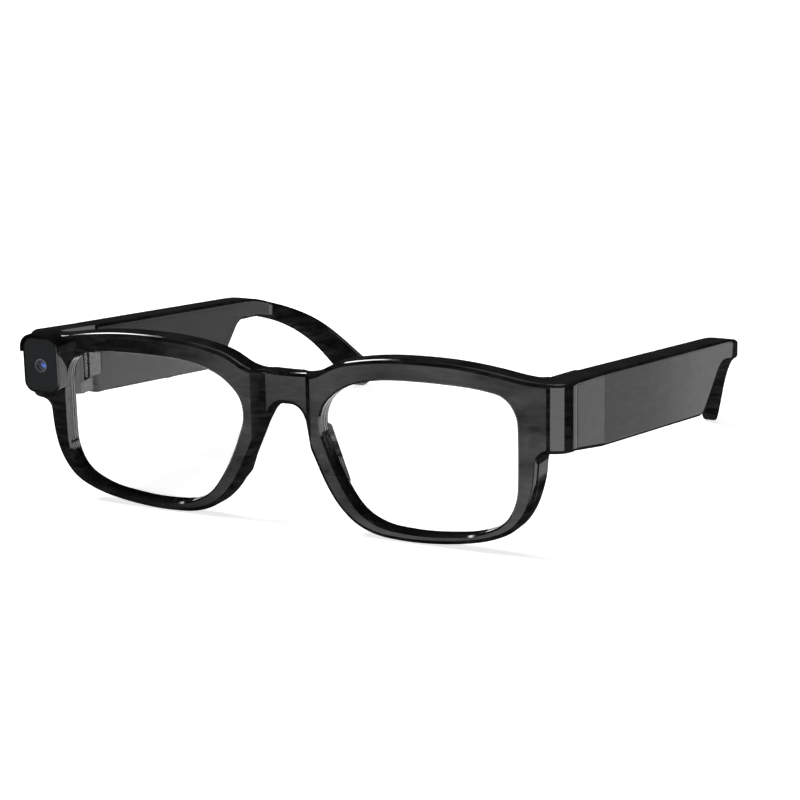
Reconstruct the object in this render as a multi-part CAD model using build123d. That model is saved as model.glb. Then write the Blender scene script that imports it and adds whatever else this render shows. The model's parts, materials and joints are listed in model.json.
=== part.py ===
from build123d import *
from math import atan2, cos, degrees, radians, tan
import os

os.makedirs("parts", exist_ok=True)

# Smart glasses. All sizes are millimetres; left and right are the wearer's.
# They are drawn upright: the flat front face is y = 0, +Y runs back to the ears, +X is the
# wearer's left, and z = 0 is half-way up the lens openings. The last step tips the whole
# assembly on to the surface it stands on.

# Front frame
HALF_WIDTH = 73.0
FRONT_DEPTH = 5.0
CORNER_RADIUS = 5.5
INNER_CORNER = 2.5
EDGE_RADIUS = 1.1
BRIDGE_RECESS = 2.9
BRIDGE_HALF = 8.0
FACET_RUN = 2.6
BRIDGE_BACK = 1.2

# Lenses
BEZEL = 0.4
GROOVE_Y = 2.9
GROOVE_WIDTH = 0.8
GROOVE_DEPTH = 0.7
LENS_Y = 2.1
LENS_THICKNESS = 2.2
FIT = 0.08

# End pieces and hinges
WALL = 7.2
INNER_X = HALF_WIDTH - WALL
SEAM_Y = 22.5
SEAM_GAP = 0.15
END_TOP = 20.4
SEAM_TOP = 18.4
END_BOTTOM = 4.0
SEAM_BOTTOM = 0.6
AXIS_X = 67.7
AXIS_Y = 20.0
KNUCKLE_RADIUS = 1.85
PIN_RADIUS = 0.6
PIN_CLEARANCE = 0.05
SCREW_RADIUS = 0.45
SCREW_HEAD = 0.9
STEP_Z = 5.3
LEDGE_Z = 15.8
POCKET_Y = 16.4
SKIN = 2.5

# Temples
SPLAY = 2.5
TOP_SLOPE = 6.75
BOTTOM_SLOPE = 7.45
MID_SLOPE = 7.1
HOOK_WALL = 4.0
HOOK_TURN_Y = 115.5
HOOK_SLOPE = 0.47
TIP_Y = 153.5
TIP_Z = -23.3
TIP_RADIUS = 3.8
TEMPLE_EDGE = 1.0
COVER_X = -2.55
CAVITY_X = (-1.8, 2.3)

# Camera block, on the wearer's right end piece
BLOCK_X = -65.3
BLOCK_Z = 13.6
BLOCK_WIDTH = 10.4
BLOCK_HEIGHT = 14.4
BLOCK_PROUD = 3.6
BLOCK_RADIUS = 3.0

# How far the glasses tip forward on to the rims and the ear tips when they stand
REST_TILT = 2.3


# ---------------------------------------------------------------- helpers
def front_slab(sketch, near, far):
    """Extrude a front-view sketch (x, z) from y = near to y = far."""
    return extrude(Plane.XZ.offset(-near) * sketch, amount=near - far)


def side_slab(sketch, low, high):
    """Extrude a side-view sketch (y, z) from x = low to x = high."""
    return extrude(Plane.YZ.offset(low) * sketch, amount=high - low)


def plan_slab(sketch, low, high):
    """Extrude a plan sketch (x, y) from z = low to z = high."""
    return extrude(Plane.XY.offset(low) * sketch, amount=high - low)


def polygon(*points):
    return make_face(Polyline(*points, close=True))


def smooth_loop(points, grow=0.0):
    """A closed outline with each corner an arc as large as the runs beside it allow.

    An outline whose corners all turn the same way can be grown outwards by the given amount.
    """
    corners = []
    radii = []
    for before, corner, after in zip(points[-1:] + points, points, points[1:] + points[:1]):
        run_in = Vector(corner) - Vector(before)
        run_out = Vector(after) - Vector(corner)
        half_turn = radians(run_in.get_angle(run_out) / 2)
        outward = (run_in.normalized() - run_out.normalized()).normalized()
        corners.append(Vector(corner) + outward * (grow / cos(half_turn)))
        radii.append(0.49 * min(run_in.length, run_out.length) / tan(half_turn) + grow)
    return make_face(FilletPolyline(*corners, radius=radii, close=True))


def block(x, y, z):
    """A box given by its three (low, high) ranges."""
    centre = ((x[0] + x[1]) / 2, (y[0] + y[1]) / 2, (z[0] + z[1]) / 2)
    return Pos(*centre) * Box(x[1] - x[0], y[1] - y[0], z[1] - z[0])


def upright(radius, x, y, z):
    """A vertical cylinder over the range z."""
    return Pos(x, y, (z[0] + z[1]) / 2) * Cylinder(radius, z[1] - z[0])


def facing(radius, x, z, y):
    """A cylinder along y over the range y."""
    return Pos(x, (y[0] + y[1]) / 2, z) * Rotation(90, 0, 0) * Cylinder(radius, y[1] - y[0])


def other_side(part):
    return mirror(part, about=Plane.YZ)


# ---------------------------------------------------------------- front frame
def rim_outline():
    """The front view of the whole frame, without its openings."""
    half = [
        (3.6, 16.45), (8.8, 16.95), (14.2, 20.2), (21, 21.75), (28, 22.65), (36, 22.95),
        (45, 22.85), (54, 21.95), (63, END_TOP), (71, END_TOP), (71, END_BOTTOM),
        (65.9, END_BOTTOM), (65.2, -4.5), (63.5, -10.3), (59.6, -15.6), (53, -18.6),
        (44, -20.4), (34, -21.2), (25, -20.7), (19.2, -18.7), (14.6, -14.6), (11.2, -9.4),
        (3.8, 7), (1.9, 8.3),
    ]
    return smooth_loop(half + [(-x, z) for x, z in reversed(half)])


def lens_opening(grow=0.0):
    """The front view of the left lens opening, grown outwards by the given amount."""
    corners = [
        (10.2, 4.5), (11, 9.6), (15.3, 13.9), (21, 16.4), (28, 17.5), (39, 17.8), (50, 17.5),
        (57.3, 16.3), (60.4, 12), (60.6, 2), (60.4, -8), (57.3, -13.9), (50, -17.3),
        (37, -18.9), (26.3, -18.3), (20.4, -15.5), (16.6, -10.4), (13.2, -3.9),
    ]
    return smooth_loop(corners, grow)


def plan_outline():
    """The plan of the frame: the front bar and the two end pieces that turn back."""
    outer = polygon(
        (-HALF_WIDTH, 0), (HALF_WIDTH, 0), (HALF_WIDTH, SEAM_Y), (INNER_X, SEAM_Y),
        (INNER_X, FRONT_DEPTH), (5.5, FRONT_DEPTH), (3.5, FRONT_DEPTH + BRIDGE_BACK),
        (-3.5, FRONT_DEPTH + BRIDGE_BACK), (-5.5, FRONT_DEPTH), (-INNER_X, FRONT_DEPTH),
        (-INNER_X, SEAM_Y), (-HALF_WIDTH, SEAM_Y),
    )
    outer = fillet([v for v in outer.vertices() if v.Y < 0.1], CORNER_RADIUS)
    inner = [v for v in outer.vertices() if v.Y > 0.1 and abs(abs(v.X) - INNER_X) < 0.1 and v.Y < 10]
    return fillet(inner, INNER_CORNER)


def end_piece_side():
    """The side view of an end piece, from the front face back to the seam."""
    return polygon(
        (0, END_TOP), (0, END_BOTTOM), (CORNER_RADIUS, END_BOTTOM), (SEAM_Y, SEAM_BOTTOM),
        (SEAM_Y, SEAM_TOP), (CORNER_RADIUS, END_TOP),
    )


def bridge_cut():
    """The wedge taken out in front of the bridge, which leaves two sloping facets."""
    inner = BRIDGE_HALF - FACET_RUN
    plan = polygon(
        (-BRIDGE_HALF - 1, -1), (BRIDGE_HALF + 1, -1), (BRIDGE_HALF, 0),
        (inner, BRIDGE_RECESS), (-inner, BRIDGE_RECESS), (-BRIDGE_HALF, 0),
    )
    return plan_slab(plan, -30, 30)


def is_upright(edge):
    start = edge @ 0
    end = edge @ 1
    return abs(start.X - end.X) < 0.01 and abs(start.Y - end.Y) < 0.01


def round_front(solid):
    """Round every edge between the forward and outward faces and the top or underside."""
    edges = []
    for face in solid.faces():
        normal = face.normal_at()
        centre = face.center()
        forward = normal.Y < -0.3 and abs(normal.Z) < 0.02
        sideways = abs(normal.X) > 0.9 and abs(centre.X) > HALF_WIDTH - 1
        if not (forward or sideways):
            continue
        for edge in face.edges():
            at_seam = min((edge @ 0).Y, (edge @ 1).Y) > SEAM_Y - 0.1
            if not is_upright(edge) and not at_seam:
                edges.append(edge)
    return fillet(edges, EDGE_RADIUS)


def hinge_pocket():
    """The space of one hinge (left): open to the inside, the back and below."""
    x = (INNER_X - 1, HALF_WIDTH - SKIN)
    pocket = block(x, (POCKET_Y, SEAM_Y + 1), (-5, LEDGE_Z))
    pin_hole = upright(PIN_RADIUS + 0.02, AXIS_X, AXIS_Y, (LEDGE_Z - 1, END_TOP + 1))
    cavity = block((INNER_X - 1, HALF_WIDTH - SKIN), (7.6, 14.4), (6.0, 15.2))
    cover_seat = block((INNER_X - 1, INNER_X + 1), (7.0, 15.2), (5.3, 16.0))
    leaf_slot = block((69.6, HALF_WIDTH - SKIN), (14, 17), (6.1, 12.1))
    screw_holes = front_leaf_holes(0.47, (70, 72.3))
    corner = block((INNER_X - 1, AXIS_X), (AXIS_Y, SEAM_Y + 1), (LEDGE_Z - 0.5, END_TOP + 1))
    corner -= upright(SEAM_Y - AXIS_Y, AXIS_X, AXIS_Y, (LEDGE_Z - 1, END_TOP + 2))
    return pocket + pin_hole + cavity + cover_seat + leaf_slot + screw_holes + corner


def front_leaf_holes(radius, x):
    """Two cylinders along x where the screws of the front leaf go."""
    holes = Part()
    for y, z in ((9.8, 7.8), (12.6, 10.4)):
        turned = Rotation(0, 90, 0) * Cylinder(radius, x[1] - x[0])
        holes += Pos((x[0] + x[1]) / 2, y, z) * turned
    return holes


def camera_pocket():
    """The recess behind the camera block, and the channel for its flex."""
    recess = block((BLOCK_X - 3.6, BLOCK_X + 3.6), (-1, 3.3), (BLOCK_Z - 5, BLOCK_Z + 5))
    channel = block((-68.7, -67.3), (3, 8), (11.5, 14.5))
    return recess + channel


def lens_groove():
    """The groove that the rib of the lens snaps into."""
    return front_slab(lens_opening(GROOVE_DEPTH), GROOVE_Y, GROOVE_Y + GROOVE_WIDTH)


def is_opening_front(edge):
    """Whether an edge is part of a lens opening's rim on the front face."""
    middle = edge @ 0.5
    on_front = max(abs((edge @ 0).Y), abs((edge @ 1).Y), abs(middle.Y)) < 0.01
    return on_front and 9 < abs(middle.X) < 61.5 and abs(middle.Z) < 19


def front_frame():
    plan = plan_slab(plan_outline(), -30, 30)
    bar = front_slab(rim_outline(), 0, FRONT_DEPTH + BRIDGE_BACK)
    end = side_slab(end_piece_side(), INNER_X, HALF_WIDTH)
    frame = (bar + end + other_side(end)) & plan
    frame = round_front(frame - bridge_cut())
    opening = front_slab(lens_opening(), -1, FRONT_DEPTH + 1)
    frame = frame - opening - other_side(opening)
    frame = chamfer([edge for edge in frame.edges() if is_opening_front(edge)], BEZEL)
    for cut in (lens_groove(), hinge_pocket(), nose_pad_stud(0.72)):
        frame = frame - cut - other_side(cut)
    return frame - camera_pocket()


def lens():
    """A clear lens whose thin rib sits in the groove of the rim."""
    body = front_slab(lens_opening(-FIT), LENS_Y, LENS_Y + LENS_THICKNESS)
    rib_y = (GROOVE_Y + FIT, GROOVE_Y + GROOVE_WIDTH - FIT)
    return body + front_slab(lens_opening(GROOVE_DEPTH - FIT), *rib_y)


# ---------------------------------------------------------------- nose pads
def nose_pad_stud(radius):
    return facing(radius, 11.6, -3.4, (FRONT_DEPTH - 1.6, FRONT_DEPTH + 1.2))


def pad_section(upper, lower, width):
    """The front view of a nose pad at one depth: a slot between two points."""
    middle = (Vector(*upper) + Vector(*lower)) / 2
    along = Vector(*lower) - Vector(*upper)
    turn = degrees(atan2(along.Y, along.X))
    return Pos(middle.X, middle.Y) * SlotCenterToCenter(along.length, width, rotation=turn)


def nose_pad():
    """A hard pad that stands back from the rim beside the nose, slanting away from it."""
    base_y = FRONT_DEPTH + 0.02
    base = Plane.XZ.offset(-base_y) * pad_section((8.4, 3.6), (14.0, -10.6), 3.4)
    crest = Plane.XZ.offset(-base_y - 3.4) * pad_section((9.2, 2.4), (13.4, -9.6), 2.2)
    pad = loft([base, crest])
    pad = fillet(pad.edges().group_by(Axis.Y)[-1], 0.8)
    return pad + nose_pad_stud(0.7)


# ---------------------------------------------------------------- hinges
def front_leaf():
    """The metal leaf fixed in the end piece, with the lower knuckle."""
    low = (2.0, STEP_Z - 0.1)
    knuckle = upright(KNUCKLE_RADIUS, AXIS_X, AXIS_Y, low)
    tongue = block((INNER_X + 0.05, 70.4), (POCKET_Y + 0.1, AXIS_Y), low)
    strap = block((69.7, 70.4), (POCKET_Y + 0.1, 19), (2.0, 12))
    plate = block((69.7, 70.4), (8.0, 19), (6.3, 11.9))
    leaf = knuckle + tongue + strap + plate
    pin_hole = upright(PIN_RADIUS + PIN_CLEARANCE, AXIS_X, AXIS_Y, (0, 7))
    return leaf - pin_hole - front_leaf_holes(0.5, (69, 71))


def temple_leaf_holes(radius, x):
    """Two cylinders across the temple where the screws of its leaf go."""
    holes = Part()
    for y, z in ((5.5, -2), (9, 2)):
        turned = Rotation(0, 90, 0) * Cylinder(radius, x[1] - x[0])
        holes += Pos((x[0] + x[1]) / 2, y, z) * turned
    return along_temple(holes)


def temple_leaf():
    """The metal leaf fixed in the temple, with the upper knuckle."""
    high = (STEP_Z + 0.1, LEDGE_Z - 0.1)
    knuckle = upright(KNUCKLE_RADIUS, AXIS_X, AXIS_Y, high)
    arm = block((INNER_X + 0.1, AXIS_X + KNUCKLE_RADIUS - 0.05), (AXIS_Y, SEAM_Y + 1.9), high)
    plate = along_temple(block((1.0, 2.15), (0.75, 11), (-3.9, 4.2)))
    web = along_temple(block((-0.5, 2.1), (0.75, 1.9), (-3.9, 4.2)))
    leaf = knuckle + arm + plate + web
    pin_hole = upright(PIN_RADIUS + PIN_CLEARANCE, AXIS_X, AXIS_Y, (0, 20))
    return leaf - pin_hole - temple_leaf_holes(0.5, (0, 3))


def hinge_pin():
    return upright(PIN_RADIUS, AXIS_X, AXIS_Y, (2.2, 17.6))


# ---------------------------------------------------------------- temples
def along_temple(part):
    """Place a part drawn along a temple: y from the seam, x outwards, z up from the middle."""
    middle = (HALF_WIDTH - WALL / 2, SEAM_Y + SEAM_GAP, (SEAM_TOP + SEAM_BOTTOM) / 2)
    return Pos(*middle) * Rotation(0, 0, -SPLAY) * Rotation(-MID_SLOPE, 0, 0) * part


def temple_side_outline():
    """The side view of a temple: a wide front part, then a thin hook that bends down."""
    start = SEAM_Y + SEAM_GAP
    top_slope = -tan(radians(TOP_SLOPE))
    bottom_slope = -tan(radians(BOTTOM_SLOPE))
    neck_y = 104.0
    neck_top = SEAM_TOP + top_slope * (neck_y - start)
    heel_y = 86.5
    heel_z = SEAM_BOTTOM + bottom_slope * (heel_y - start)
    reach = TIP_RADIUS * 0.7071
    tip_top = (TIP_Y + reach, TIP_Z + reach)
    tip_low = (TIP_Y - reach, TIP_Z - reach)
    tip_end = (TIP_Y + reach, TIP_Z - reach)
    top = Line((start, SEAM_TOP), (neck_y, neck_top))
    hook_top = Spline(
        (neck_y, neck_top), (120, 5.1), (137, -3.0), tip_top,
        tangents=[(1, top_slope), (0.72, -0.69)],
    )
    tip = ThreePointArc(tip_top, tip_end, tip_low)
    hook_under = Spline(
        tip_low, (140, -13.2), (126, -2.4), (112, 2), (103.5, 2.9),
        tangents=[(-0.72, 0.69), (-1, 0.12)],
    )
    crook = Spline((103.5, 2.9), (98.6, 1.2), tangents=[(-1, 0.12), (-0.75, -0.66)])
    trailing = Line((98.6, 1.2), (90.3, -6.1))
    heel = Spline((90.3, -6.1), (heel_y, heel_z), tangents=[(-0.75, -0.66), (-1, -bottom_slope)])
    bottom = Line((heel_y, heel_z), (start, SEAM_BOTTOM))
    front = Line((start, SEAM_BOTTOM), (start, SEAM_TOP))
    return make_face([top, hook_top, tip, hook_under, crook, trailing, heel, bottom, front])


def temple_plan_outline():
    """The plan of the left temple: straight and splayed, then turned in at the ear."""
    start = SEAM_Y + SEAM_GAP
    far = TIP_Y + 15
    splay = tan(radians(SPLAY))
    turn_x = HALF_WIDTH + splay * (HOOK_TURN_Y - SEAM_Y)
    wall_x = HOOK_WALL * (1 + HOOK_SLOPE ** 2) ** 0.5
    far_x = turn_x - HOOK_SLOPE * (far - HOOK_TURN_Y)
    inner_turn = (turn_x - wall_x - INNER_X + splay * SEAM_Y + HOOK_SLOPE * HOOK_TURN_Y)
    inner_turn = inner_turn / (splay + HOOK_SLOPE)
    inner_x = INNER_X + splay * (inner_turn - SEAM_Y)
    outline = polygon(
        (HALF_WIDTH, start), (turn_x, HOOK_TURN_Y), (far_x, far), (far_x - wall_x, far),
        (inner_x, inner_turn), (INNER_X, start),
    )
    outer_bend = [v for v in outline.vertices() if abs(v.X - turn_x) < 0.01]
    outline = fillet(outer_bend, 27)
    inner_bend = [v for v in outline.vertices() if abs(v.X - inner_x) < 0.01]
    return fillet(inner_bend, 5)


def temple_body():
    """The solid outer form of the left temple, with its long edges rounded."""
    side = side_slab(temple_side_outline(), 40, 85)
    body = side & plan_slab(temple_plan_outline(), -40, 30)
    edges = [edge for edge in body.edges() if abs((edge @ 0).Y - (edge @ 1).Y) > 0.5]
    return fillet(edges, TEMPLE_EDGE)


def cavity_outline():
    """The side view of the hollow inside a temple."""
    return polygon((1.5, -7), (63.5, -7), (73.5, 1.8), (73.5, 6.9), (1.5, 6.9))


def cover_outline(shrink=0.0):
    """The side view of the inner cover, taken in all round by the given amount."""
    front = 2.5 + shrink
    rear = 75 - shrink
    low = -5.5 + shrink
    high = 7.6 - shrink
    return polygon((front, low), (65 - shrink, low), (rear, 2.8), (rear, high), (front, high))


def temple_shell():
    """The hollow left temple: open on its inner side, where the cover goes."""
    seat = side_slab(cover_outline(-0.06), -5, COVER_X)
    window = side_slab(cover_outline(0.9), -5, CAVITY_X[0] + 0.1)
    cavity = side_slab(cavity_outline(), *CAVITY_X)
    leaf_way = block((-0.7, 2.3), (-1, 1.6), (-4.05, 4.35))
    speaker_port = block((-1.3, 1.9), (57.4, 62.8), (-10, -6.9))
    arm_way = block((60, 69.75), (SEAM_Y - 1, SEAM_Y + 2.6), (STEP_Z, LEDGE_Z))
    shell = temple_body() - along_temple(seat + window + cavity + leaf_way + speaker_port)
    return shell - arm_way - temple_leaf_holes(0.47, (2, 3.2))


def temple_cover():
    cover = side_slab(cover_outline(), -WALL / 2 + 0.03, COVER_X - 0.04)
    return along_temple(cover)


def battery():
    """A flat pouch cell with soft corners and a folded tab at its front end."""
    cell = block((-2.2, 2.0), (34, 56), (-4.3, 6.3))
    cell = fillet(cell.edges().filter_by(Axis.Y), 1.2)
    tab = block((-0.6, 1.4), (33, 34), (-2.5, 4.5))
    return along_temple(cell + tab)


def temple_board():
    """The circuit board with its chips."""
    board = block((1.3, 2.1), (12, 32), (-6, 6.2))
    chips = [(14, -4, 6, 6), (22, -3, 4, 4), (27.5, -4.5, 3, 7), (21, 3, 8, 2)]
    for y, z, length, height in chips:
        board += block((0.4, 1.3), (y, y + length), (z, z + height))
    return along_temple(board)


def speaker():
    """A small box speaker, stepped where its magnet sits."""
    box = block((-1.6, 2.1), (57, 63.2), (-6.5, 5.6))
    magnet = block((-2.1, -1.6), (58, 62.2), (-3.5, 2.6))
    return along_temple(box + magnet)


def speaker_grille():
    """The perforated plate over the speaker's port, under the temple."""
    grille = block((-1.22, 1.82), (57.48, 62.72), (-8.9, -8.2))
    for row in range(3):
        for column in range(5):
            hole = Pos(-0.55 + 0.85 * row, 58.3 + 0.9 * column, -8.55) * Cylinder(0.27, 2)
            grille -= hole
    return along_temple(grille)


def temple_flex():
    """The flat cable that joins the board, the battery and the speaker."""
    strip = block((2.13, 2.25), (28, 58), (-1.2, 1.2))
    board_end = block((2.13, 2.25), (28, 31), (-3, 3))
    return along_temple(strip + board_end)


# ---------------------------------------------------------------- controls (right temple)
def pill(length, width, z):
    """An upright slot shape, long along y."""
    return plan_slab(SlotOverall(length, width, rotation=90), z[0], z[1])


def button_at(y, low):
    """A push button: a rounded cap below the temple, and a flange that holds it in."""
    cap = pill(4.6, 2.2, (low, -6.95))
    cap = fillet(cap.edges().group_by(Axis.Z)[0], 0.5)
    flange = pill(5.6, 3.2, (-6.95, -6.5))
    return Pos(0, y, 0) * (cap + flange)


def button_hole(y):
    return Pos(0, y, 0) * pill(4.8, 2.4, (-11, -6.9))


def switch_at(y):
    """A tactile switch above a button, on its own small board."""
    board = block((-1.6, 2.1), (y - 3.2, y + 3.2), (-4.95, -4.5))
    body = block((-1.3, 1.7), (y - 2, y + 2), (-5.65, -4.95))
    plunger = Pos(0.2, y, -5.85) * Cylinder(0.7, 0.4)
    return board + body + plunger


# ---------------------------------------------------------------- camera block
def rounded_block(grow, y, radius):
    """A front-view rounded rectangle about the camera's centre, grown by the given amount."""
    outline = RectangleRounded(BLOCK_WIDTH + 2 * grow, BLOCK_HEIGHT + 2 * grow, radius)
    return front_slab(Pos(BLOCK_X, BLOCK_Z) * outline, *y)


def camera_housing():
    body = rounded_block(0, (-BLOCK_PROUD, 0), BLOCK_RADIUS)
    front_edges = body.edges().group_by(Axis.Y)[0]
    body = fillet(front_edges, 0.45)
    seat = rounded_block(-0.55, (-BLOCK_PROUD - 1, -BLOCK_PROUD + 0.75), BLOCK_RADIUS - 0.55)
    inside = rounded_block(-1.2, (-BLOCK_PROUD - 1, 1), BLOCK_RADIUS - 1.2)
    return body - seat - inside


def camera_hood():
    """The band round the upper half of the block, which shades the window."""
    band = rounded_block(0.5, (-BLOCK_PROUD - 0.3, -0.05), BLOCK_RADIUS + 0.5)
    band -= rounded_block(0.02, (-BLOCK_PROUD - 1, 1), BLOCK_RADIUS + 0.02)
    cut = polygon(
        (-80, -10), (-50, -10), (-50, 17.1), (-60.6, 17.1), (-61.4, 16.2), (-69.2, 15.8),
        (-70.2, 16.7), (-80, 16.7),
    )
    return band - front_slab(cut, -10, 10)


def camera_window():
    return rounded_block(-0.6, (-BLOCK_PROUD + 0.1, -BLOCK_PROUD + 0.72), BLOCK_RADIUS - 0.6)


def camera_holder():
    """The frame inside the block that carries the lens barrel and the light."""
    plate = rounded_block(-1.25, (-1.4, -0.6), BLOCK_RADIUS - 1.25)
    plate -= facing(2.32, BLOCK_X, BLOCK_Z - 0.2, (-2, 0))
    return plate - block((BLOCK_X - 0.65, BLOCK_X + 0.65), (-2, 0), (BLOCK_Z + 3.75, BLOCK_Z + 5.05))


def camera_barrel():
    barrel = facing(2.3, BLOCK_X, BLOCK_Z - 0.2, (-2.5, 0.8))
    barrel -= facing(1.52, BLOCK_X, BLOCK_Z - 0.2, (-3, -1.6))
    barrel -= facing(0.9, BLOCK_X, BLOCK_Z - 0.2, (-2, 1))
    return barrel


def camera_lens():
    """The domed front element, seated in the barrel."""
    dome = Pos(BLOCK_X, -2.35 + 2.4, BLOCK_Z - 0.2) * Sphere(2.4)
    return dome & facing(1.5, BLOCK_X, BLOCK_Z - 0.2, (-3, -1.62))


def image_sensor():
    return block((BLOCK_X - 2, BLOCK_X + 2), (0.82, 1.4), (BLOCK_Z - 2.2, BLOCK_Z + 1.8))


def camera_board():
    board = block((BLOCK_X - 3.4, BLOCK_X + 3.4), (1.42, 2.1), (BLOCK_Z - 4.7, BLOCK_Z + 4.7))
    for x, z in ((-2.6, -3.8), (0.4, -3.4), (-1.8, 1.6)):
        board += block((BLOCK_X + x, BLOCK_X + x + 2), (2.1, 2.8), (BLOCK_Z + z, BLOCK_Z + z + 2))
    return board


def capture_light():
    return block((BLOCK_X - 0.6, BLOCK_X + 0.6), (-2.3, 1.4), (BLOCK_Z + 3.8, BLOCK_Z + 4.6))


def camera_flex():
    """The flat cable from the camera board back into the end piece."""
    tail = block((-68.6, -67.9), (2.12, 2.25), (12, 14))
    run = block((-68.6, -68.45), (2.12, 13.8), (12, 14))
    return tail + run


# ---------------------------------------------------------------- assembly
def end_cover():
    return block((INNER_X + 0.03, INNER_X + 0.95), (7.06, 15.14), (5.36, 15.94))


def microphone():
    return along_temple(block((-1.2, 1.8), (7, 10.5), (-6.95, -5.9)))


def charging_contacts():
    pads = Part()
    for column in range(4):
        pin = Rotation(0, 90, 0) * Cylinder(0.8, 1.3)
        pads += Pos(-WALL / 2 + 0.65, 16 + 2.6 * column, 0) * pin
    return along_temple(pads)


def build():
    left = {}
    left["lens"] = lens()
    left["nose_pad"] = nose_pad()
    left["end_cover"] = end_cover()
    left["front_leaf"] = front_leaf()
    left["hinge_pin"] = hinge_pin()
    left["front_leaf_screws"] = (
        front_leaf_holes(SCREW_RADIUS, (69.6, 72.2)) + front_leaf_holes(SCREW_HEAD, (69.1, 69.68))
    )
    left["temple_shell"] = temple_shell()
    left["temple_cover"] = temple_cover()
    left["temple_leaf"] = temple_leaf()
    left["temple_leaf_screws"] = (
        temple_leaf_holes(SCREW_RADIUS, (0.9, 3.1)) + temple_leaf_holes(SCREW_HEAD, (0.4, 0.98))
    )
    left["battery"] = battery()
    left["temple_board"] = temple_board()
    left["speaker"] = speaker()
    left["speaker_grille"] = speaker_grille()
    left["temple_flex"] = temple_flex()
    nodes = {}
    for name, solid in left.items():
        nodes[name + "_left"] = solid
        nodes[name + "_right"] = other_side(solid)
    power = (6.6, -9.5)
    capture = (43.2, -9.75)
    holes = along_temple(button_hole(power[0]) + button_hole(capture[0]))
    nodes["temple_shell_right"] -= other_side(holes)
    nodes["power_button"] = other_side(along_temple(button_at(*power)))
    nodes["capture_button"] = other_side(along_temple(button_at(*capture)))
    nodes["power_switch"] = other_side(along_temple(switch_at(power[0])))
    nodes["capture_switch"] = other_side(along_temple(switch_at(capture[0])))
    mic_port = along_temple(Pos(0.3, 8.7, -8) * Cylinder(0.4, 4))
    nodes["temple_shell_left"] -= mic_port
    nodes["microphone"] = microphone()
    nodes["charging_contacts"] = charging_contacts()
    nodes["temple_cover_left"] -= nodes["charging_contacts"]
    nodes["front_frame"] = front_frame()
    nodes["camera_housing"] = camera_housing()
    nodes["camera_hood"] = camera_hood()
    nodes["camera_window"] = camera_window()
    nodes["camera_holder"] = camera_holder()
    nodes["camera_barrel"] = camera_barrel()
    nodes["camera_lens"] = camera_lens()
    nodes["image_sensor"] = image_sensor()
    nodes["camera_board"] = camera_board()
    nodes["capture_light"] = capture_light()
    nodes["camera_flex"] = camera_flex()
    return nodes


def stand(nodes):
    """Tip the glasses on to rims and ear tips, with the base's middle at the origin."""
    tipped = {name: Rotation(REST_TILT, 0, 0) * solid for name, solid in nodes.items()}
    boxes = [solid.bounding_box() for solid in tipped.values()]
    front = min(box.min.Y for box in boxes)
    rear = max(box.max.Y for box in boxes)
    left = max(box.max.X for box in boxes)
    right = min(box.min.X for box in boxes)
    shift = Pos(-(left + right) / 2, -(front + rear) / 2, -min(box.min.Z for box in boxes))
    print("stands at", shift.position)
    return {name: shift * solid for name, solid in tipped.items()}


for name, solid in stand(build()).items():
    export_step(solid, f"parts/{name}.step")
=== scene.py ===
import json
import math

import bpy
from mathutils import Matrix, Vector


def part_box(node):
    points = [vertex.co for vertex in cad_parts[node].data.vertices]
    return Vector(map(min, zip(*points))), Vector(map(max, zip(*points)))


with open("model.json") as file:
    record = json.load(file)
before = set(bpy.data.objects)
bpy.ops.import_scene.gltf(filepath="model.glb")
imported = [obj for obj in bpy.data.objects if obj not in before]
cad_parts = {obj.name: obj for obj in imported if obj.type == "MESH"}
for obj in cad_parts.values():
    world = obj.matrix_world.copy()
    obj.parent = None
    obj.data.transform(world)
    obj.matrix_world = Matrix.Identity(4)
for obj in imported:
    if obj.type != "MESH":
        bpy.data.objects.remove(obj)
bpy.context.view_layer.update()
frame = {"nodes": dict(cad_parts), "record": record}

MM = 0.001
WINDOW_CLEAR = 1.75 * MM


# ---------------------------------------------------------------- material helpers
class Nodes:
    """A short way to write a material's or a world's node tree."""

    def __init__(self, tree):
        self.tree = tree
        self.tree.nodes.clear()

    def add(self, kind, inputs=None, **settings):
        node = self.tree.nodes.new(kind)
        for name, value in settings.items():
            setattr(node, name, value)
        for name, value in (inputs or {}).items():
            self.put(node, name, value)
        return node

    def put(self, node, name, value):
        if isinstance(value, bpy.types.NodeSocket):
            self.tree.links.new(value, node.inputs[name])
        else:
            node.inputs[name].default_value = value

    def math(self, operation, first, second=0.0):
        node = self.add("ShaderNodeMath", {0: first, 1: second}, operation=operation)
        return node.outputs[0]

    def ramp(self, factor, stops):
        """A colour ramp: stops are (position, grey or colour)."""
        node = self.add("ShaderNodeValToRGB", {"Fac": factor})
        ramp = node.color_ramp
        ramp.interpolation = "EASE"
        while len(ramp.elements) < len(stops):
            ramp.elements.new(1.0)
        for element, (place, value) in zip(ramp.elements, stops):
            element.position = place
            colour = value if isinstance(value, tuple) else (value, value, value)
            element.color = (*colour, 1.0)
        return node.outputs["Color"]

    def between(self, value, low, high, to_low=0.0, to_high=1.0):
        """A smooth step of value from low to high."""
        node = self.add(
            "ShaderNodeMapRange",
            {"Value": value, "From Min": low, "From Max": high, "To Min": to_low, "To Max": to_high},
            interpolation_type="SMOOTHSTEP",
        )
        return node.outputs["Result"]

    def place(self, scale=(1, 1, 1), turn=(0, 0, 0)):
        """The object's own coordinates in metres, scaled and turned."""
        coordinate = self.add("ShaderNodeTexCoord").outputs["Object"]
        mapping = self.add("ShaderNodeMapping", {"Vector": coordinate, "Scale": scale, "Rotation": turn})
        return mapping.outputs["Vector"]

    def noise(self, vector, scale, detail=4.0, roughness=0.5, distortion=0.0):
        node = self.add("ShaderNodeTexNoise", {
            "Vector": vector, "Scale": scale, "Detail": detail, "Roughness": roughness,
            "Distortion": distortion,
        })
        return node.outputs["Fac"]


def new_material(name):
    material = bpy.data.materials.new(name)
    material.use_nodes = True
    return material, Nodes(material.node_tree)


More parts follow.
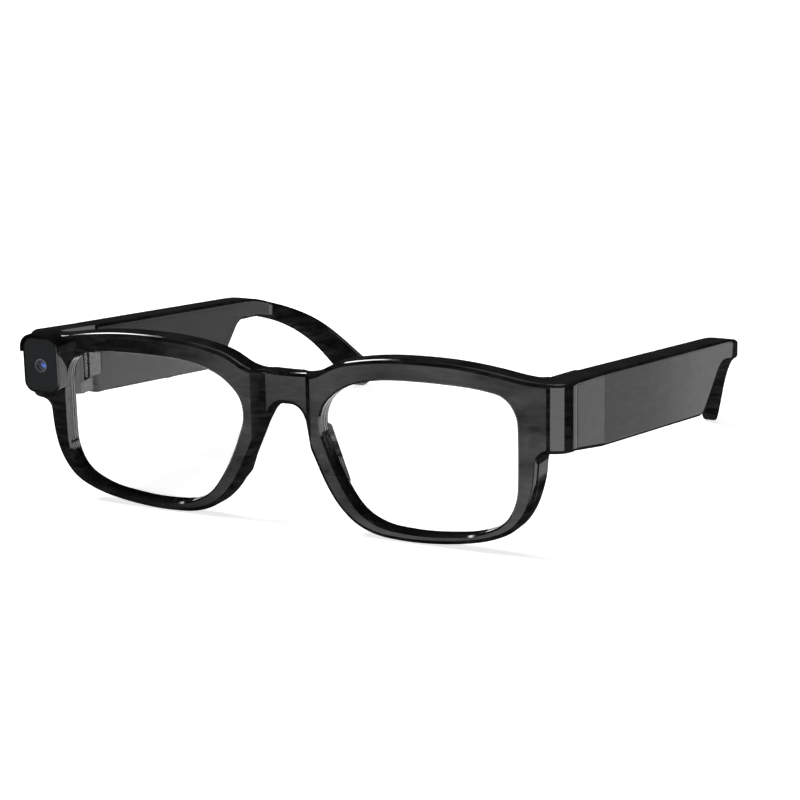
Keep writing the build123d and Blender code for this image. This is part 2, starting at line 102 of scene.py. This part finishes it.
def finish_shader(nodes, shader):
    nodes.add("ShaderNodeOutputMaterial", {"Surface": shader.outputs[0]})


def fine_bump(nodes, height, strength, depth):
    node = nodes.add("ShaderNodeBump", {"Height": height, "Strength": strength, "Distance": depth})
    return node.outputs["Normal"]


# ---------------------------------------------------------------- materials
def polished_plastic(name, low, high, roughness):
    """Polished black moulding: faint smoky streaks, polishing haze and very slight waviness."""
    material, n = new_material(name)
    stretched = n.place(scale=(0.4, 0.4, 2.0), turn=(0.1, 0.12, 0.0))
    smoke = n.noise(stretched, 260, detail=4, roughness=0.55, distortion=1.0)
    colour = n.ramp(smoke, [(0.35, low), (0.75, high)])
    haze = n.noise(n.place(), 420, detail=3)
    wave = n.noise(n.place(), 95, detail=1)
    shader = n.add("ShaderNodeBsdfPrincipled", {
        "Base Color": colour,
        "Roughness": n.between(haze, 0.3, 0.7, roughness * 0.7, roughness * 1.4),
        "IOR": 1.5,
        "Normal": fine_bump(n, wave, 0.04, 0.0003),
    })
    finish_shader(n, shader)
    return material


def satin_plastic(name, colour, roughness=0.42):
    """Spark-eroded inner moulding: a fine even grain."""
    material, n = new_material(name)
    texture = n.noise(n.place(), 3200, detail=2)
    tone = n.noise(n.place(), 160, detail=3)
    shade = n.ramp(tone, [(0.3, tuple(c * 0.8 for c in colour)), (0.7, tuple(c * 1.25 for c in colour))])
    shader = n.add("ShaderNodeBsdfPrincipled", {
        "Base Color": shade,
        "Roughness": n.between(tone, 0.3, 0.7, roughness * 0.85, roughness * 1.15),
        "Normal": fine_bump(n, texture, 0.18, 0.00005),
    })
    finish_shader(n, shader)
    return material


def brushed_metal(name, colour, roughness):
    """Plated steel with fine drawn lines."""
    material, n = new_material(name)
    lines = n.noise(n.place(scale=(1, 1, 22)), 900, detail=4)
    dark = tuple(c * 0.75 for c in colour)
    bright = tuple(min(1, c * 1.2) for c in colour)
    shade = n.ramp(lines, [(0.3, dark), (0.7, bright)])
    shader = n.add("ShaderNodeBsdfPrincipled", {
        "Base Color": shade,
        "Metallic": 1.0,
        "Roughness": n.between(lines, 0.3, 0.7, roughness * 0.7, roughness * 1.3),
        "Normal": fine_bump(n, lines, 0.1, 0.00003),
    })
    finish_shader(n, shader)
    return material


def clear_glass(name):
    """The clear coated lenses: a trace of smear in the polish, and a dark ground edge."""
    material, n = new_material(name)
    smear = n.noise(n.place(scale=(1, 1, 0.4)), 70, detail=4, distortion=0.8)
    normal = n.add("ShaderNodeTexCoord").outputs["Normal"]
    across = n.add("ShaderNodeSeparateXYZ", {"Vector": normal}).outputs["Y"]
    clear = n.between(n.math("ABSOLUTE", across), 0.4, 0.6)
    shader = n.add("ShaderNodeBsdfPrincipled", {
        "Base Color": n.ramp(clear, [(0.0, (0.012, 0.012, 0.013)), (1.0, (0.99, 0.995, 0.995))]),
        "Roughness": n.between(smear, 0.45, 0.8, 0.0, 0.012),
        "IOR": 1.5,
        "Transmission Weight": clear,
    })
    finish_shader(n, shader)
    return material


def smoked_window(name):
    """The camera's window: painted dark grey behind, with a clear round opening over the lens."""
    material, n = new_material(name)
    low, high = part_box("camera_lens")
    centre = (Vector(low) + Vector(high)) / 2
    offset = n.add("ShaderNodeVectorMath", {0: n.place(), 1: centre}, operation="SUBTRACT").outputs[0]
    flat = n.add("ShaderNodeVectorMath", {0: offset, 1: (1, 0, 1)}, operation="MULTIPLY").outputs[0]
    radius = n.add("ShaderNodeVectorMath", {0: flat}, operation="LENGTH").outputs["Value"]
    clear = n.between(radius, WINDOW_CLEAR * 0.8, WINDOW_CLEAR, 1.0, 0.0)
    shader = n.add("ShaderNodeBsdfPrincipled", {
        "Base Color": n.ramp(clear, [(0.0, (0.021, 0.0225, 0.0235)), (1.0, (0.75, 0.78, 0.85))]),
        "Roughness": n.between(n.noise(n.place(), 300, detail=2), 0.3, 0.7, 0.0, 0.03),
        "IOR": 1.5,
        "Transmission Weight": clear,
    })
    finish_shader(n, shader)
    return material


def coated_optic(name):
    """The camera's glass: a deep blue coating that only its reflections show."""
    material, n = new_material(name)
    edge = n.add("ShaderNodeLayerWeight", {"Blend": 0.35}).outputs["Facing"]
    blues = [(0.0, (0.03, 0.12, 0.6)), (0.5, (0.04, 0.18, 0.9)), (1.0, (0.1, 0.08, 0.5))]
    shader = n.add("ShaderNodeBsdfPrincipled", {
        "Base Color": n.ramp(edge, blues),
        "Metallic": 0.8,
        "Roughness": n.between(n.noise(n.place(), 900), 0.3, 0.7, 0.12, 0.2),
        "Coat Weight": 1.0,
        "Coat Roughness": 0.05,
    })
    finish_shader(n, shader)
    return material


def circuit_board(name):
    """Dark green solder mask with faint copper tracks under it."""
    material, n = new_material(name)
    tracks = n.add("ShaderNodeTexBrick", {
        "Vector": n.place(), "Scale": 700.0, "Mortar Size": 0.06, "Color1": (0.008, 0.05, 0.024, 1),
        "Color2": (0.01, 0.06, 0.03, 1), "Mortar": (0.05, 0.13, 0.05, 1),
    })
    shader = n.add("ShaderNodeBsdfPrincipled", {
        "Base Color": tracks.outputs["Color"],
        "Roughness": n.between(n.noise(n.place(), 600), 0.3, 0.7, 0.25, 0.4),
        "Normal": fine_bump(n, tracks.outputs["Fac"], 0.3, 0.00003),
    })
    finish_shader(n, shader)
    return material


def wrinkled_foil(name):
    material, n = new_material(name)
    folds = n.noise(n.place(), 380, detail=5, distortion=0.6)
    shader = n.add("ShaderNodeBsdfPrincipled", {
        "Base Color": n.ramp(folds, [(0.3, (0.42, 0.43, 0.44)), (0.7, (0.62, 0.63, 0.64))]),
        "Metallic": 1.0,
        "Roughness": n.between(folds, 0.3, 0.7, 0.25, 0.45),
        "Normal": fine_bump(n, folds, 0.4, 0.0001),
    })
    finish_shader(n, shader)
    return material


def film(name):
    """Amber polyimide film with darker tracks along it."""
    material, n = new_material(name)
    tracks = n.add("ShaderNodeTexWave", {
        "Vector": n.place(), "Scale": 520.0, "Distortion": 0.3,
    }, bands_direction="Z")
    ambers = [(0.2, (0.24, 0.09, 0.015)), (0.8, (0.42, 0.18, 0.03))]
    shader = n.add("ShaderNodeBsdfPrincipled", {
        "Base Color": n.ramp(tracks.outputs["Fac"], ambers),
        "Roughness": n.between(n.noise(n.place(), 500), 0.3, 0.7, 0.25, 0.4),
    })
    finish_shader(n, shader)
    return material


def milky_guide(name):
    material, n = new_material(name)
    cloud = n.noise(n.place(), 900)
    shader = n.add("ShaderNodeBsdfPrincipled", {
        "Base Color": n.ramp(cloud, [(0.3, (0.7, 0.7, 0.7)), (0.7, (0.85, 0.85, 0.84))]),
        "Roughness": n.between(cloud, 0.3, 0.7, 0.2, 0.4),
        "Transmission Weight": 0.5,
    })
    finish_shader(n, shader)
    return material


def make_materials():
    """One material for each slot of the record."""
    return {
        "frame_plastic": polished_plastic("frame_plastic", 0.003, 0.018, 0.05),
        "housing_plastic": polished_plastic("housing_plastic", 0.005, 0.010, 0.07),
        "hood_plastic": polished_plastic("hood_plastic", 0.003, 0.007, 0.06),
        "button_plastic": polished_plastic("button_plastic", 0.006, 0.012, 0.08),
        "cover_plastic": polished_plastic("cover_plastic", 0.005, 0.013, 0.08),
        "nose_pad_plastic": polished_plastic("nose_pad_plastic", 0.004, 0.012, 0.05),
        "clear_lens": clear_glass("clear_lens"),
        "hinge_steel": brushed_metal("hinge_steel", (0.12, 0.12, 0.125), 0.3),
        "pin_steel": brushed_metal("pin_steel", (0.3, 0.3, 0.31), 0.28),
        "screw_steel": brushed_metal("screw_steel", (0.35, 0.35, 0.36), 0.3),
        "grille_steel": brushed_metal("grille_steel", (0.04, 0.04, 0.04), 0.4),
        "contact_gold": brushed_metal("contact_gold", (0.75, 0.52, 0.22), 0.22),
        "window_glass": smoked_window("window_glass"),
        "optic_glass": coated_optic("optic_glass"),
        "inner_plastic": satin_plastic("inner_plastic", (0.018, 0.018, 0.018)),
        "speaker_plastic": satin_plastic("speaker_plastic", (0.03, 0.03, 0.03)),
        "sensor_silicon": satin_plastic("sensor_silicon", (0.05, 0.05, 0.07), 0.15),
        "circuit_board": circuit_board("circuit_board"),
        "battery_pouch": wrinkled_foil("battery_pouch"),
        "flex_film": film("flex_film"),
        "light_guide": milky_guide("light_guide"),
    }


def dress_cad_nodes(materials):
    for row in frame["record"]["subparts"]:
        part = frame["nodes"][row["node"]]
        part.data.materials.clear()
        part.data.materials.append(materials[row["material_slot"]])


# ---------------------------------------------------------------- studio
CAMERA_PLACE = Vector((0.23785, -0.50479, 0.13889))
CAMERA_AZIMUTH = math.radians(25.76)
CAMERA_ELEVATION = math.radians(12.435)
CAMERA_LENS = 95.5
FLOOR_HALF = 12.0
FLOOR_GAP = 0.1 * MM


def add_camera():
    data = bpy.data.cameras.new("camera")
    data.lens = CAMERA_LENS
    data.sensor_width = 36.0
    data.clip_start = 0.01
    data.clip_end = 100.0
    camera = bpy.data.objects.new("camera", data)
    bpy.context.scene.collection.objects.link(camera)
    level = math.cos(CAMERA_ELEVATION)
    back = Vector((
        math.sin(CAMERA_AZIMUTH) * level, -math.cos(CAMERA_AZIMUTH) * level, math.sin(CAMERA_ELEVATION),
    ))
    camera.location = CAMERA_PLACE
    camera.rotation_mode = "QUATERNION"
    camera.rotation_quaternion = (-back).to_track_quat("-Z", "Y")
    bpy.context.scene.camera = camera


def floor_material():
    material, n = new_material("studio_floor")
    tone = n.noise(n.place(), 1.5, detail=1)
    shader = n.add("ShaderNodeBsdfPrincipled", {
        "Base Color": n.ramp(tone, [(0.3, 0.90), (0.7, 0.92)]),
        "Roughness": 0.9,
        "Specular IOR Level": 0.0,
        "Emission Color": (1.0, 1.0, 1.0, 1.0),
        "Emission Strength": 0.8,
    })
    finish_shader(n, shader)
    return material


def add_floor():
    """A pale sweep under the glasses. Glossy rays pass it, and meet the studio instead."""
    mesh = bpy.data.meshes.new("floor")
    half = FLOOR_HALF
    corners = [(-half, -half, 0), (half, -half, 0), (half, half, 0), (-half, half, 0)]
    mesh.from_pydata(corners, [], [(0, 1, 2, 3)])
    floor = bpy.data.objects.new("floor", mesh)
    bpy.context.scene.collection.objects.link(floor)
    floor.data.materials.append(floor_material())
    floor.location.z = -FLOOR_GAP
    floor.visible_glossy = False


def soft_box(n, azimuth, elevation, centre, half_size, edge, level):
    """The glow of one soft box: a rectangle in azimuth and elevation with soft edges, in degrees."""
    spans = []
    for angle, middle, half in zip((azimuth, elevation), centre, half_size):
        away = n.math("ABSOLUTE", n.math("SUBTRACT", angle, middle))
        spans.append(n.between(away, half - edge / 2, half + edge / 2, 1.0, 0.0))
    return n.math("MULTIPLY", n.math("MULTIPLY", spans[0], spans[1]), level)


# Each soft box: (azimuth, elevation), half sizes, softness of its edge, and brightness. Azimuth 0 is
# in front of the glasses, 90 is on the wearer's left, and -90 on the wearer's right.
SOFT_BOXES = [
    ((-90, 52), (22, 6), 3, 22.0),
    ((60, 70), (50, 10), 12, 1.2),
    ((32, -12), (33.5, 16), 3, 2.9),
    ((132, -8), (15, 14), 5, 1.7),
    ((154, -12), (3.5, 16), 3, 0.5),
    ((159.5, -12), (2.5, 16), 2, 0.65),
]
STREAKED_BOX = ((-26, -17), (6, 6), 2.5, 1.5)
ZENITH_START = 62
ZENITH_FULL = 75
ZENITH_LEVEL = 0.9
HAZE_LEVEL = 0.02


def add_world():
    """The studio that the gloss reflects: soft boxes in a dark room, and a pale glow overhead."""
    world = bpy.data.worlds.new("studio")
    world.use_nodes = True
    bpy.context.scene.world = world
    n = Nodes(world.node_tree)
    direction = n.add("ShaderNodeTexCoord").outputs["Generated"]
    split = n.add("ShaderNodeSeparateXYZ", {"Vector": direction})
    x, y, z = split.outputs
    front = n.math("MULTIPLY", y, -1.0)
    azimuth = n.math("DEGREES", n.math("ARCTAN2", x, front))
    elevation = n.math("DEGREES", n.math("ARCSINE", z))
    total = n.between(elevation, ZENITH_START, ZENITH_FULL, HAZE_LEVEL, ZENITH_LEVEL)
    for centre, half_size, edge, level in SOFT_BOXES:
        total = n.math("ADD", total, soft_box(n, azimuth, elevation, centre, half_size, edge, level))
    stretched = n.add("ShaderNodeMapping", {"Vector": direction, "Scale": (14, 14, 90)}).outputs[0]
    streaks = n.between(n.noise(stretched, 1.0, detail=4, distortion=1.6), 0.38, 0.62, 0.08, 1.3)
    centre, half_size, edge, level = STREAKED_BOX
    glow = soft_box(n, azimuth, elevation, centre, half_size, edge, level)
    total = n.math("ADD", total, n.math("MULTIPLY", glow, streaks))
    background = n.add("ShaderNodeBackground", {"Color": total, "Strength": 1.0})
    n.add("ShaderNodeOutputWorld", {"Surface": background.outputs[0]})


# ---------------------------------------------------------------- build
bpy.context.scene.view_settings.view_transform = "Standard"
materials = make_materials()
dress_cad_nodes(materials)
add_camera()
add_floor()
add_world()
